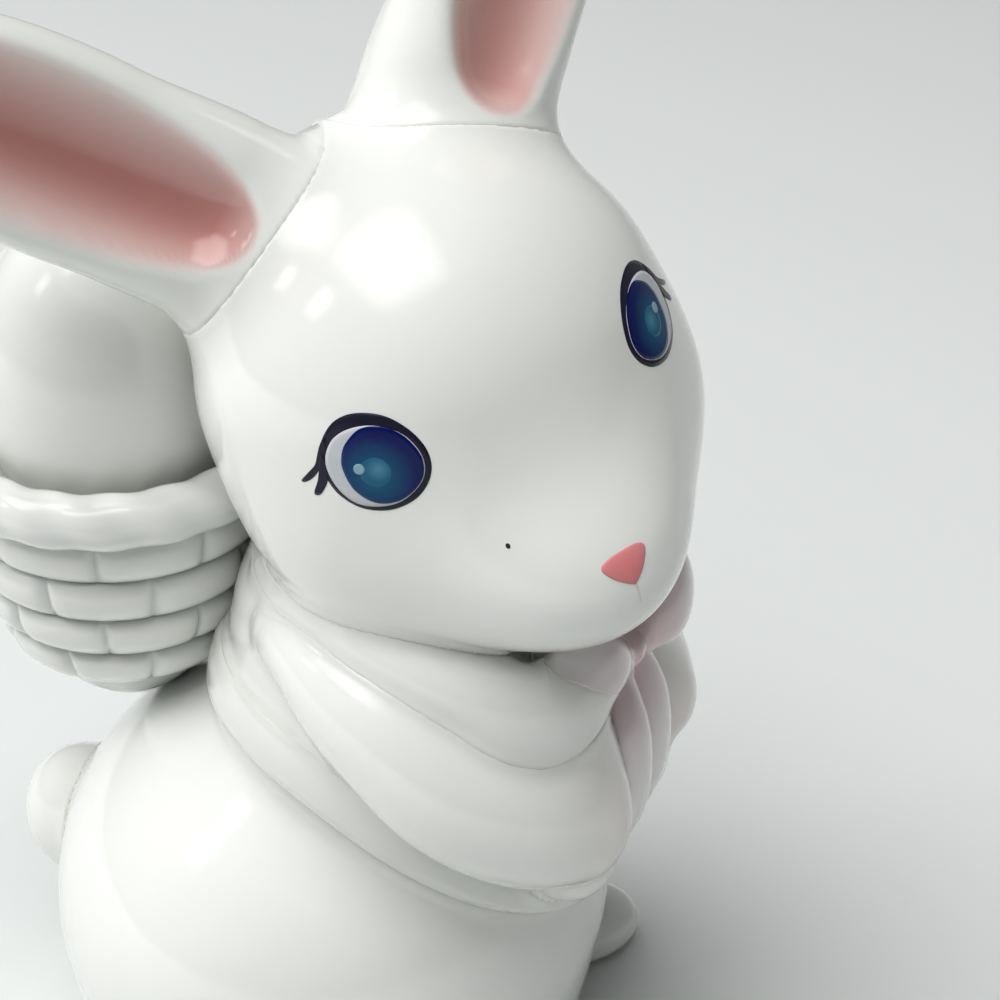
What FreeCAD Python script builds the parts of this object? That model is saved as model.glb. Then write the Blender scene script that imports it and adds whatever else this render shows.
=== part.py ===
"""A glazed porcelain rabbit in a knotted shawl, with an egg in the woven basket on its back.

Sizes are in millimetres. The flat base stands on z = 0, the body faces -Y and +X is the
rabbit's left. Every piece is a casting or a roll of clay that is luted to the pieces under
it, so each one is shaped first and then cut to the faces that it sits on.
"""
import FreeCAD, Part
import math
import os
from FreeCAD import Placement, Rotation, Vector

# ---------------------------------------------------------------- driving dimensions
# body casting
neck_height = 98.0            # flat lute face between body and head
belly_height = 33.0           # level of the widest part of the belly
belly_back = 20.0             # how far the belly's middle lies behind the origin
belly_half_width = 46.0
belly_half_depth = 43.5
belly_half_height = 39.0
chest_height = 80.0
chest_back = 4.0
chest_half_width = 26.0
chest_half_depth = 27.0
chest_half_height = 32.0
seat_height = 9.0             # level where the sitting edge is widest
seat_half_width = 38.0
seat_half_depth = 36.0
seat_half_height = 15.0
waist_softness = 14.0         # how softly chest, belly and seat run into each other
body_wall = 5.0
vent_diameter = 3.2           # air hole that lets the castings dry and fire

# head casting, in the head's own frame: origin at its middle, facing -Y
head_height = 126.5           # middle of the head above the table
head_turn = 40.0              # degrees, turned to the rabbit's own right
head_tilt = 16.5              # degrees, leaning to the rabbit's own right
skull_half_width = 33.5
skull_half_depth = 32.5
skull_half_height = 31.5
cheek_side = 13.0             # each cheek's distance from the middle plane
cheek_drop = 11.0
cheek_half_size = 20.5
muzzle_reach = 23.0           # middle of the muzzle in front of the head's middle
muzzle_drop = 15.0
muzzle_half_width = 17.0
muzzle_half_depth = 20.0
muzzle_half_height = 14.0
face_softness = 11.0
head_wall = 5.0
nose_half_width = 3.6
nose_half_height = 2.8
nose_proud = 1.4
nose_drop = 10.0              # nose below the head's middle

# ears
ear_length = 69.0
ear_half_width = 13.5
ear_half_thickness = 8.5
ear_root_side = 13.5
ear_root_back = 10.5
ear_root_up = 24.5
ear_root_half_width = 13.0
ear_root_half_thickness = 11.0
ear_scoop_half_width = 10.8
ear_scoop_half_depth = 8.0
ear_scoop_offset = 9.0        # the scoop's middle in front of the ear's middle

# tail and feet
tail_radius = 9.5
tail_half_height = 11.5
tail_height = 32.0
tail_proud = 2.5              # how far the ball's middle stands off the back
foot_half_width = 9.0
foot_half_length = 13.0
foot_half_height = 6.5
foot_height = 5.0
foot_side = 31.0
foot_forward = 9.0
foot_splay = 32.0

# shawl, its rolled hem, collars and the arms under it
shawl_thickness = 2.4
hem_back_height = 75.0
hem_front_fall = 24.0         # how far the hem comes down round the sides
hem_front_dip = 11.0          # its last dip in the middle of the front
hem_radius = 2.7
arm_half_width = 9.5
arm_half_thickness = 9.0
paw_half_width = 8.0
paw_half_height = 9.5
paw_bearing = 15.0            # degrees from the middle of the front
paw_proud = 7.0               # the paw's middle in front of the chest
paw_height = 57.0
collar_half_width = 8.0
collar_half_thickness = 5.2

# bow
knot_half_width = 4.6
knot_half_height = 5.4
knot_height = 85.0
loop_length = 17.0
loop_half_width = 7.6
loop_half_thickness = 3.8
loop_rise = 8.0               # how far a loop stands up from the knot
loop_reach = 3.5              # how far it comes forward
bow_tail_length = 34.0
bow_tail_swing = 4.0          # how far the tails swing out over the paws
bow_tail_half_width = 4.6
bow_tail_half_thickness = 2.8
middle_gap = 0.4              # between the two tails of the bow

# basket and egg
basket_back = 54.0            # basket's axis behind the origin
basket_rim_height = 105.0     # middle of the braided rim
basket_rim_radius = 24.0
basket_braid_radius = 4.2
bowl_radius = 22.6
bowl_depth = 37.0
strand_radius = 3.1
strand_count = 9              # strands in one course of the weave
course_count = 4
course_pitch = 6.3
strand_gap = 1.2
egg_radius = 20.0
egg_upper = 27.0
egg_lower = 24.0
egg_height = 116.0            # level of the egg's widest part

# how finely the skins are drawn
body_levels = 12
body_spokes = 16
roll_spokes = 10
sink = 0.01                   # the finest step at which a skin is found


# ---------------------------------------------------------------- skins and sections
def swell(centre, half_sizes, axes=None):
    """A swelling of clay: about how far a point lies outside an ellipsoid, in millimetres."""
    a, b, c = half_sizes

    def outside(point):
        q = point - centre
        if axes:
            q = Vector(q.dot(axes[0]), q.dot(axes[1]), q.dot(axes[2]))
        near = math.sqrt((q.x / a) ** 2 + (q.y / b) ** 2 + (q.z / c) ** 2)
        slope = math.sqrt((q.x / a / a) ** 2 + (q.y / b / b) ** 2 + (q.z / c / c) ** 2)
        return near * (near - 1) / max(slope, 1e-9)

    return outside


def run_together(first, second, softness):
    """Two swellings that run into each other in a soft hollow."""

    def outside(point):
        a, b = first(point), second(point)
        share = min(1.0, max(0.0, 0.5 + 0.5 * (b - a) / softness))
        return b + (a - b) * share - softness * share * (1 - share)

    return outside


def scooped(clay, tool, softness):
    """Clay with a hollow that a round tool leaves, its lip softened."""

    def outside(point):
        a, b = clay(point), -tool(point)
        share = min(1.0, max(0.0, 0.5 + 0.5 * (a - b) / softness))
        return b + (a - b) * share + softness * share * (1 - share)

    return outside


def skin_point(clay, start, direction, far=90.0):
    """The point where a straight needle from inside the clay comes out of its skin."""
    low, high = 0.0, far
    while high - low > sink / 10:
        middle = (low + high) / 2
        if clay(start + direction * middle) < 0:
            low = middle
        else:
            high = middle
    return start + direction * low


def ring(clay, centre, across, up, spokes, lift=Vector(0, 0, 0)):
    """Skin points all round a centre, on spokes in the plane of across and up."""
    points = []
    for i in range(spokes):
        turn = 2 * math.pi * i / spokes
        spoke = across * math.cos(turn) + up * math.sin(turn) + lift
        points.append(skin_point(clay, centre, spoke.normalize()))
    return points


def closed_curve(points):
    """A smooth closed outline through the points, in two halves with the same spans everywhere."""
    spans = [i / len(points) for i in range(len(points) + 1)]
    halves = []
    for start in (0.0, 0.5):
        curve = Part.BSplineCurve()
        curve.interpolate(Points=points, PeriodicFlag=True, Parameters=spans)
        curve.segment(start, start + 0.5)
        halves.append(curve.toShape())
    return Part.Wire(halves)


def lofted(sections):
    """A solid through outlines, where a single point makes a round end."""
    profiles = []
    for section in sections:
        profiles.append(Part.Vertex(section) if isinstance(section, Vector) else closed_curve(section))
    return Part.makeLoft(profiles, True, False)


def pebble(clay, centre, axis, spokes=12, rows=8):
    """A rounded solid whose skin is found from its middle, pole to pole along the axis."""
    across = axis.cross(Vector(0, 0, 1)) if abs(axis.z) < 0.9 else axis.cross(Vector(0, 1, 0))
    across.normalize()
    up = axis.cross(across).normalize()
    sections = [skin_point(clay, centre, axis * -1)]
    for i in range(rows):
        height = math.radians(-90 + 180 * (i + 0.5) / rows)
        lift = axis * math.tan(height)
        sections.append(ring(clay, centre, across, up, spokes, lift))
    sections.append(skin_point(clay, centre, axis))
    return lofted(sections)


def roll(middles, outward, half_widths, half_heights, round_ends=True):
    """A roll of clay along a route: an oval at each point, wide along the surface under it.

    Without round ends, the first and last points only steer the flat ends next to them.
    """
    count = len(middles)
    sections = []
    for i in range(count) if round_ends else range(1, count - 1):
        ahead = middles[min(i + 1, count - 1)] - middles[max(i - 1, 0)]
        ahead.normalize()
        out = outward[i] - ahead * outward[i].dot(ahead)
        out.normalize()
        side = ahead.cross(out)
        if i == 0:
            sections.append(middles[0] - ahead * half_heights[0])
        points = []
        for j in range(roll_spokes):
            turn = 2 * math.pi * j / roll_spokes
            points.append(middles[i] + out * (half_heights[i] * math.cos(turn))
                          - side * (half_widths[i] * math.sin(turn)))
        sections.append(points)
        if i == count - 1:
            sections.append(middles[-1] + ahead * half_heights[-1])
    return lofted(sections)


def seated(piece, *under):
    """The piece cut to the faces that it sits on, one after another, keeping its main body."""
    for support in under:
        if piece.BoundBox.intersect(support.BoundBox):
            piece = max(piece.cut(support).Solids, key=lambda solid: solid.Volume)
    return piece


def mirrored(shape):
    """The same piece for the rabbit's other side."""
    return shape.mirror(Vector(0, 0, 0), Vector(1, 0, 0))


# ---------------------------------------------------------------- body
def body_clay():
    """The body's outer skin: a belly on a broad seat, and a chest above."""
    belly = swell(Vector(0, belly_back, belly_height),
                  (belly_half_width, belly_half_depth, belly_half_height))
    seat = swell(Vector(0, belly_back, seat_height),
                 (seat_half_width, seat_half_depth, seat_half_height))
    chest = swell(Vector(0, chest_back, chest_height),
                  (chest_half_width, chest_half_depth, chest_half_height))
    return run_together(run_together(belly, seat, waist_softness), chest, waist_softness)


def spine(height):
    """A point of the body's middle line at a height."""
    slope = (chest_back - belly_back) / (chest_height - belly_height)
    return Vector(0, belly_back + slope * (height - belly_height), height)


def bearing(degrees):
    """A level direction from the spine: 0 is the front and 90 is the rabbit's right."""
    turn = math.radians(degrees)
    return Vector(-math.sin(turn), -math.cos(turn), 0)


def on_body(clay, degrees, height, proud=0.0):
    """A point on the body's skin, or so far in front of it."""
    out = bearing(degrees)
    return skin_point(clay, spine(height), out) + out * proud


def body_section(clay, height, grown=0.0, spokes=body_spokes):
    """The body's outline at a height, grown or pulled in."""
    return [on_body(clay, 360 * i / spokes, height, grown) for i in range(spokes)]


def make_body(clay):
    heights = [neck_height * i / body_levels for i in range(body_levels + 1)]
    return lofted([body_section(clay, height) for height in heights])


def hollow_body(body, clay):
    """The cast wall: the inside and the air holes through the base and the neck."""
    low = body_wall
    high = neck_height - body_wall
    rows = 7
    heights = [low + (high - low) * i / (rows - 1) for i in range(rows)]
    inside = lofted([body_section(clay, height, -body_wall, 12) for height in heights])
    low_vent = Part.makeCylinder(vent_diameter / 2, low + 2, Vector(0, belly_back, -1))
    neck_vent = Part.makeCylinder(vent_diameter / 2, body_wall + 2, Vector(0, 0, high - 1))
    return body.cut([inside, low_vent, neck_vent])


# ---------------------------------------------------------------- head, nose and ears
def head_pose():
    turned = Rotation(Vector(0, 0, 1), -head_turn)
    tilted = Rotation(Vector(0, 1, 0), -head_tilt)
    return Placement(Vector(0, 1, head_height), turned.multiply(tilted))


def head_clay():
    """The head's skin in its own frame: a skull, two cheeks and a muzzle."""
    skull = swell(Vector(0, 2, 1.5), (skull_half_width, skull_half_depth, skull_half_height))
    clay = skull
    for side in (-cheek_side, cheek_side):
        cheek = swell(Vector(side, -5, -cheek_drop), (cheek_half_size,) * 3)
        clay = run_together(clay, cheek, face_softness)
    muzzle = swell(Vector(0, -muzzle_reach, -muzzle_drop),
                   (muzzle_half_width, muzzle_half_depth, muzzle_half_height))
    return run_together(clay, muzzle, face_softness)


def above_neck():
    """The space over the lute face between body and head."""
    room = 300.0
    return Part.makeBox(room, room, room, Vector(-room / 2, -room / 2, neck_height))


def make_head(clay):
    head = pebble(clay, Vector(0, 0, 0), Vector(0, 0, 1), 16, 10)
    head.Placement = head_pose()
    return head.common(above_neck())


def hollow_head(head):
    """The cast wall of the head: a round inside and the air hole through the neck."""
    middle = head_pose().multVec(Vector(0, 2, 1.5))
    inside = Part.makeSphere(skull_half_height - head_wall, middle)
    vent = Part.makeCylinder(vent_diameter / 2, head_height - neck_height, Vector(0, 0, neck_height - 1))
    return head.cut([inside, vent])


def make_nose(clay):
    """A small rounded triangle, wide at the top, on the end of the muzzle."""
    root = skin_point(clay, Vector(0, 0, -nose_drop), Vector(0, -1, 0))
    wide = swell(root + Vector(0, 0.6, 0.8), (nose_half_width, nose_proud + 0.8, nose_half_height * 0.7))
    low = swell(root + Vector(0, 0.8, -1.2), (nose_half_width * 0.45, nose_proud + 0.8, nose_half_height * 0.7))
    nose = pebble(run_together(wide, low, 2.0), root, bearing(0), 12, 6)
    nose.Placement = head_pose()
    return nose


def ear_axes():
    """Along the ear, across it and out of its hollow, for the right ear in the head's frame."""
    along = Vector(-0.66, 0.16, 0.735).normalize()
    out = Vector(-0.10, -0.93, 0.25)
    out = (out - along * out.dot(along)).normalize()
    return along, along.cross(out), out


def make_right_ear():
    along, across, out = ear_axes()
    root = Vector(-ear_root_side, ear_root_back, ear_root_up)
    half = (ear_length + 5) / 2
    middle = root + along * (ear_length - half)
    blade = swell(middle, (half, ear_half_width, ear_half_thickness), (along, across, out))
    stem = swell(root + along * 6 - out * 3, (20, ear_root_half_width, ear_root_half_thickness),
                 (along, across, out))
    tool = swell(middle + out * ear_scoop_offset + along * 3,
                 (half - 4, ear_scoop_half_width, ear_scoop_half_depth), (along, across, out))
    clay = scooped(run_together(blade, stem, 8.0), tool, 3.0)
    steps = 11
    sections = []
    for i in range(steps):
        reach = ear_length * 0.975 * math.sin(math.pi / 2 * i / (steps - 1))
        thick = ear_half_thickness * math.sqrt(1 - ((reach - ear_length + half) / half) ** 2)
        sections.append(ring(clay, root + along * reach - out * (thick * 0.45), across, out, 20))
    sections.append(root + along * ear_length)
    return lofted(sections)


# ---------------------------------------------------------------- tail and feet
def make_tail(clay):
    back = on_body(clay, 180, tail_height, tail_proud)
    ball = swell(back, (tail_radius, tail_radius, tail_half_height))
    return pebble(ball, back, bearing(180), 10, 6)


def make_right_foot():
    turn = math.radians(foot_splay)
    forward = Vector(-math.sin(turn), -math.cos(turn), 0)
    side = forward.cross(Vector(0, 0, 1))
    middle = Vector(-foot_side, -foot_forward, foot_height)
    foot = swell(middle, (foot_half_length, foot_half_width, foot_half_height),
                 (forward, side, Vector(0, 0, 1)))
    solid = pebble(foot, middle, forward, 12, 6)
    room = 60.0
    return solid.common(Part.makeBox(room, room, room, middle - Vector(room / 2, room / 2, foot_height)))


# ---------------------------------------------------------------- shawl and arms
def hem_height(degrees):
    """Level of the hem at a bearing: high at the back, lower at the sides, dipping in front."""
    share = (1 + math.cos(math.radians(degrees))) / 2
    return hem_back_height - hem_front_fall * share ** 2.3 - hem_front_dip * share ** 14


def make_shawl(clay):
    """The cloth over the back and shoulders, down to the curved sheet that holds its hem."""
    low = hem_height(0) - 6
    rows = 8
    heights = [low + (neck_height - low) * i / (rows - 1) for i in range(rows)]
    cloth = lofted([body_section(clay, height, shawl_thickness, 16) for height in heights])
    line = [on_body(clay, degrees, hem_height(degrees)) for degrees in range(0, 181, 20)]
    wide, tall = 2 * belly_half_width, 2 * neck_height
    front = Vector(-wide, line[0].y - 30, line[0].z)
    back = Vector(-wide, line[-1].y + 60, line[-1].z)
    sheet = Part.BSplineCurve()
    sheet.interpolate([front] + [Vector(-wide, p.y, p.z) for p in line] + [back])
    over_back = Vector(-wide, back.y, tall)
    over_front = Vector(-wide, front.y, tall)
    side = Part.Wire([sheet.toShape(), Part.LineSegment(back, over_back).toShape(),
                      Part.LineSegment(over_back, over_front).toShape(),
                      Part.LineSegment(over_front, front).toShape()])
    return cloth.common(Part.Face(side).extrude(Vector(2 * wide, 0, 0)))


def make_right_hem(clay):
    """The rolled edge, from the middle of the front round to the middle of the back."""
    turns = [0, 9, 20, 35, 55, 80, 105, 130, 155, 180]
    middles = [on_body(clay, turn, hem_height(turn), shawl_thickness * 0.5) for turn in turns]
    middles = [mirrored_point(middles[1])] + middles + [mirrored_point(middles[-2])]
    outward = [bearing(turn) for turn in [-turns[1]] + turns + [360 - turns[-2]]]
    size = [hem_radius] * len(middles)
    return roll(middles, outward, size, size, False)


def mirrored_point(point):
    return Vector(-point.x, point.y, point.z)


def route(clay, stops):
    """Points and outward directions for stops given as bearing, height and height off the skin."""
    middles = [on_body(clay, turn, height, proud) for turn, height, proud in stops]
    return middles, [bearing(stop[0]) for stop in stops]


def make_right_arm(clay):
    stops = [(132, 90, 0.5), (116, 88.5, 1.5), (98, 86, 2.5), (78, 82, 4.0),
             (58, 76.5, 6.0), (38, 71, 8.0), (17, 65, 10.0)]
    middles, outward = route(clay, stops)
    swelling = [0.35, 0.55, 0.7, 0.85, 0.95, 1.0, 0.95]
    return roll(middles, outward, [arm_half_width * s for s in swelling],
                [arm_half_thickness * s for s in swelling])


def make_right_paw(clay):
    middle = on_body(clay, paw_bearing, paw_height, paw_proud)
    paw = swell(middle, (paw_half_width, paw_half_width, paw_half_height))
    return pebble(paw, middle, bearing(paw_bearing), 10, 6)


def make_right_collar(clay):
    """The turned-down upper fold, narrow behind the neck and broad where it meets the knot."""
    stops = [(150, 95, 0.5), (125, 96, 1.5), (100, 94.5, 3.0), (76, 92, 4.0),
             (56, 88, 5.0), (40, 84, 6.0), (22, 84, 5.0)]
    middles, outward = route(clay, stops)
    widths = [0.35, 0.45, 0.6, 0.75, 0.95, 1.0, 0.75]
    heights = [0.5, 0.7, 0.85, 0.95, 1.0, 1.0, 0.8]
    return roll(middles, outward, [collar_half_width * s for s in widths],
                [collar_half_thickness * s for s in heights])


# ---------------------------------------------------------------- bow
def knot_middle(clay):
    return on_body(clay, 0, knot_height, 5.5)


def make_knot(clay):
    middle = knot_middle(clay)
    knot = swell(middle, (knot_half_width, knot_half_width, knot_half_height))
    return pebble(knot, middle, bearing(0), 10, 6)


def make_right_loop(clay):
    knot = knot_middle(clay)
    shares = [0.15, 0.4, 0.7, 0.95]
    middles = [knot + Vector(-loop_length * s, -loop_reach * math.sin(math.pi * s), loop_rise * s)
               for s in shares]
    outward = [Vector(0, -1, 0)] * len(shares)
    swelling = [0.5, 0.85, 1.0, 0.75]
    return roll(middles, outward, [loop_half_width * s for s in swelling],
                [loop_half_thickness * s for s in swelling])


def make_right_bow_tail(clay):
    knot = knot_middle(clay)
    shares = [0.1, 0.35, 0.65, 0.95]
    swelling = [0.7, 1.0, 0.95, 0.55]
    half_widths = [bow_tail_half_width * s for s in swelling]
    middles = []
    for share, half_width in zip(shares, half_widths):
        height = knot.z - knot_half_height * 0.5 - bow_tail_length * share
        forward = knot.y - bow_tail_swing * math.sin(math.pi * share)
        middles.append(Vector(-half_width - middle_gap, forward, height))
    return roll(middles, [Vector(0, -1, 0)] * len(shares), half_widths,
                [bow_tail_half_thickness * s for s in swelling])


# ---------------------------------------------------------------- basket and egg
def turned_profile(edges, axis_back):
    """A round solid from its half outline, drawn in the plane x = 0 to the back of its axis."""
    face = Part.Face(Part.Wire(edges))
    return face.revolve(Vector(0, axis_back, 0), Vector(0, 0, 1), 360)


def quarter(axis_back, height, radius, rise):
    """A quarter oval from its widest point to the axis, upwards or downwards."""
    wide = Vector(0, axis_back + radius, height)
    slant = math.sqrt(0.5)
    middle = Vector(0, axis_back + radius * slant, height + rise * slant)
    top = Vector(0, axis_back, height + rise)
    curve = Part.BSplineCurve()
    curve.interpolate(Points=[wide, middle, top], Tangents=[Vector(0, 0, rise), Vector(0, -radius, rise),
                      Vector(0, -radius, 0)], TangentFlags=[True, False, True])
    return curve.toShape(), wide, top


def make_egg():
    upper, wide, top = quarter(basket_back, egg_height, egg_radius, egg_upper)
    lower, _, bottom = quarter(basket_back, egg_height, egg_radius, -egg_lower)
    axis = Part.LineSegment(top, bottom).toShape()
    return turned_profile(Part.sortEdges([upper, axis, lower])[0], basket_back)


def make_bowl(egg):
    """The basket's body, closed at the rim and shaped to hold the lower end of the egg."""
    lower, wide, bottom = quarter(basket_back, basket_rim_height, bowl_radius, -bowl_depth)
    middle = Vector(0, basket_back, basket_rim_height)
    edges = [lower, Part.LineSegment(bottom, middle).toShape(), Part.LineSegment(middle, wide).toShape()]
    return turned_profile(Part.sortEdges(edges)[0], basket_back).cut(egg)


def bowl_radius_at(height):
    drop = (basket_rim_height - height) / bowl_depth
    return bowl_radius * math.sqrt(max(0.0, 1 - drop * drop))


def make_course(number):
    """One course of the weave: short fat strands laid round like bricks, each row half a strand on."""
    height = basket_rim_height - basket_braid_radius - strand_radius - course_pitch * number
    radius = bowl_radius_at(height)
    share = 360 / strand_count
    gap = math.degrees(strand_gap / radius)
    strands = []
    for i in range(strand_count):
        start = share * (i + (number % 2) / 2) + gap / 2
        strand = Part.makeTorus(radius, strand_radius, Vector(0, 0, 0), Vector(0, 0, 1), 0, 360, share - gap)
        strand.rotate(Vector(0, 0, 0), Vector(0, 0, 1), start)
        strand.translate(Vector(0, basket_back, height))
        strands.append(strand)
    return strands


def make_braid():
    return Part.makeTorus(basket_rim_radius, basket_braid_radius, Vector(0, basket_back, basket_rim_height))


# ---------------------------------------------------------------- the whole figure
def build():
    clay = body_clay()
    face = head_clay()
    body = make_body(clay)
    head = make_head(face)
    pieces = {}
    pieces["body_shell"] = hollow_body(body, clay)
    pieces["head_shell"] = hollow_head(head)
    pieces["nose"] = seated(make_nose(face), head)
    right_ear = make_right_ear()
    for name, ear in (("right_ear", right_ear), ("left_ear", mirrored(right_ear))):
        ear.Placement = head_pose()
        pieces[name] = seated(ear, head)
    pieces["tail"] = seated(make_tail(clay), body)
    pieces["right_foot"] = seated(make_right_foot(), body)
    shawl = seated(make_shawl(clay), body, head)
    pieces["shawl"] = shawl
    hem = seated(make_right_hem(clay), body, shawl)
    arm = seated(make_right_arm(clay), body, shawl, hem)
    paw = seated(make_right_paw(clay), shawl, hem, arm)
    collar = seated(make_right_collar(clay), body, head, shawl, arm)
    pieces["shawl_hem_right"] = hem
    pieces["right_arm"] = arm
    pieces["right_paw"] = paw
    pieces["shawl_collar_right"] = collar
    for right, left in (("right_foot", "left_foot"), ("right_arm", "left_arm"),
                        ("right_paw", "left_paw"), ("shawl_hem_right", "shawl_hem_left"),
                        ("shawl_collar_right", "shawl_collar_left")):
        pieces[left] = mirrored(pieces[right])
    knot = seated(make_knot(clay), shawl)
    pieces["bow_knot"] = knot
    bow_tail = seated(make_right_bow_tail(clay), arm, paw, knot)
    pieces["bow_tail_right"] = bow_tail
    pieces["bow_tail_left"] = mirrored(bow_tail)
    pieces["bow_loop_right"] = seated(make_right_loop(clay), head, knot, collar)
    pieces["bow_loop_left"] = seated(mirrored(make_right_loop(clay)), head, knot,
                                     pieces["shawl_collar_left"])
    egg = make_egg()
    bowl = seated(make_bowl(egg), body, shawl)
    pieces["egg"] = egg
    pieces["basket_bowl"] = bowl
    for number in range(course_count):
        strands = []
        for strand in make_course(number):
            near_back = strand.CenterOfMass.y < basket_back - bowl_radius / 2
            left_over = strand.cut([bowl, body, shawl] if near_back else bowl)
            strands += [solid for solid in left_over.Solids if solid.Volume > 20]
        pieces["basket_course_" + str(number + 1)] = Part.makeCompound(strands)
    pieces["basket_braid"] = make_braid().cut([bowl, head])
    return pieces


def main():
    pieces = build()
    os.makedirs("parts", exist_ok=True)
    for name, piece in pieces.items():
        print(name, piece.isValid(), len(piece.Solids), round(piece.Volume))
        piece.exportStep("parts/" + name + ".step")


main()
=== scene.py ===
"""A glazed porcelain rabbit in a knotted shawl, with an egg in the basket on its back.

Lengths are in millimetres until a mesh is written. The rabbit's body faces -Y, +X is its own
left, and its flat base stands on z = 0, as in the CAD frame.
"""
import math

import bpy
import numpy as np
from mathutils import Matrix, Vector


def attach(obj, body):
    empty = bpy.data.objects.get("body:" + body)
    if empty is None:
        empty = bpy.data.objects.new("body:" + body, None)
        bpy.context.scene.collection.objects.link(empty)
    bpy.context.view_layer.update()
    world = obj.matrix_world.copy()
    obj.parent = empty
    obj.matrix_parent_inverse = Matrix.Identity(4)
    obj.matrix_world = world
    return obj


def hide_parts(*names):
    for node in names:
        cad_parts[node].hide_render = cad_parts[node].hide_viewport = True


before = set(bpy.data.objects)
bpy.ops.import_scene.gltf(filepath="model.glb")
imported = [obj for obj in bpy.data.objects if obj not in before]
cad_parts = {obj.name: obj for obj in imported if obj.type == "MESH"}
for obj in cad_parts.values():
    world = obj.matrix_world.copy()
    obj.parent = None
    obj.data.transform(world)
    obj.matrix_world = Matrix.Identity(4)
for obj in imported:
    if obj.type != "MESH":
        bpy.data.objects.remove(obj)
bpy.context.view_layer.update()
grain = 1.0      # share of the rows and spokes while trying things


# ---------------- body
# The sitting body is a slip-cast porcelain shell with a flat wiped base and an air hole under
# it. Everything else is luted to it with slip, and one clear glaze runs over all the joints.
def swelling(centre, half_sizes, axes=None):
    """How far points lie outside an ellipsoid: n (n - 1) / s, with n the point's distance from
    the centre counted in half sizes, and s the slope of n there. Axes are a matrix's columns."""
    centre, half_sizes = np.asarray(centre, float), np.asarray(half_sizes, float)

    def outside(points):
        q = points - centre
        if axes is not None:
            q = q @ axes
        n = np.sqrt(((q / half_sizes) ** 2).sum(-1))
        slope = np.sqrt(((q / half_sizes ** 2) ** 2).sum(-1))
        return n * (n - 1) / np.maximum(slope, 1e-9)

    return outside


def run_together(first, second, softness):
    """Two swellings with a soft hollow between them: the smaller distance, less softness / 4
    times h squared, where h falls from 1 on their meeting line to 0 a softness apart."""
    def outside(points):
        a, b = first(points), second(points)
        h = np.clip(1 - np.abs(a - b) / softness, 0, 1)
        return np.minimum(a, b) - softness * h * h / 4

    return outside


def glazed_into(own, *neighbours):
    """One piece's skin with the joints to its neighbours filled: its own distance, less
    softness / 4 times h squared for each neighbour, h as above. Two pieces made so meet on one
    line with one slope, and past it each goes on under the other."""
    def outside(points):
        a = own(points)
        left = a.copy()
        for other, softness in neighbours:
            h = np.clip(1 - np.abs(a - other(points)) / softness, 0, 1)
            left -= softness * h * h / 4
        return left

    return outside


def skin(outside, starts, directions, far):
    """Where needles from inside the clay come out: the last inside step before the first outside
    one on each needle, and then that step halved until the skin is met."""
    steps, halvings = 20, 9
    starts, directions = np.broadcast_arrays(starts, directions)
    low = np.zeros(starts.shape[:-1])
    through = np.zeros(low.shape, bool)
    for step in range(1, steps + 1):
        reach = far * step / steps
        through |= outside(starts + directions * reach) > 0
        low = np.where(through, low, reach)
    high = low + far / steps
    for _ in range(halvings):
        middle = (low + high) / 2
        inside = outside(starts + directions * middle[..., None]) < 0
        low, high = np.where(inside, middle, low), np.where(inside, high, middle)
    return starts + directions * ((low + high) / 2)[..., None]


def in_scene(thing):
    """Puts an object into the scene and hands it back."""
    bpy.context.scene.collection.objects.link(thing)
    return thing


def closed_mesh(name, rows, start=None, end=None, marks=()):
    """A mesh on a grid of points: row i, spoke j joins row i + 1 and spoke j + 1, spokes go
    round, and a fan closes each end on its pole. With no poles the rows go round too. Marks are
    pairs of a name and a rule that gives each point a number. It is turned outwards by the sign
    of its volume, the sum of a . (b x c) / 6 over its triangles."""
    count, spokes = rows.shape[:2]
    points = rows.reshape(-1, 3)
    ring = start is None
    i, j = np.meshgrid(np.arange(count if ring else count - 1), np.arange(spokes), indexing="ij")
    ahead, beside = (i + 1) % count, (j + 1) % spokes
    quads = np.stack([i * spokes + j, i * spokes + beside, ahead * spokes + beside,
                      ahead * spokes + j], -1).reshape(-1, 4)
    fans = np.zeros((0, 3), int)
    if not ring:
        first, last = len(points), len(points) + 1
        points = np.concatenate([points, [start], [end]])
        j = np.arange(spokes)
        beside = (j + 1) % spokes
        lid = (count - 1) * spokes
        fans = np.concatenate([np.stack([np.full(spokes, first), beside, j], -1),
                               np.stack([np.full(spokes, last), lid + j, lid + beside], -1)])
    corners = np.concatenate([quads[:, [0, 1, 2]], quads[:, [0, 2, 3]], fans])
    a, b, c = points[corners[:, 0]], points[corners[:, 1]], points[corners[:, 2]]
    if (a * np.cross(b, c)).sum() < 0:
        quads, fans = quads[:, ::-1], fans[:, ::-1]
    mesh = bpy.data.meshes.new(name)
    mesh.from_pydata((points / 1000).tolist(), [], quads.tolist() + fans.tolist())
    mesh.polygons.foreach_set("use_smooth", np.ones(len(mesh.polygons), bool))
    for mark, rule in marks:
        values = mesh.attributes.new(mark, "FLOAT", "POINT")
        values.data.foreach_set("value", rule(points).astype(np.float32))
    return in_scene(bpy.data.objects.new(name, mesh))


def joints(own, *neighbours):
    """How deep in a joint a point lies, from 0 to 1: the largest h of glazed_into."""
    def depth(points):
        a = own(points)
        found = np.zeros(a.shape)
        for other, softness in neighbours:
            width = max(softness, 1.5)
            found = np.maximum(found, np.clip(1 - np.abs(a - other(points)) / width, 0, 1))
        return found

    return depth


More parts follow.
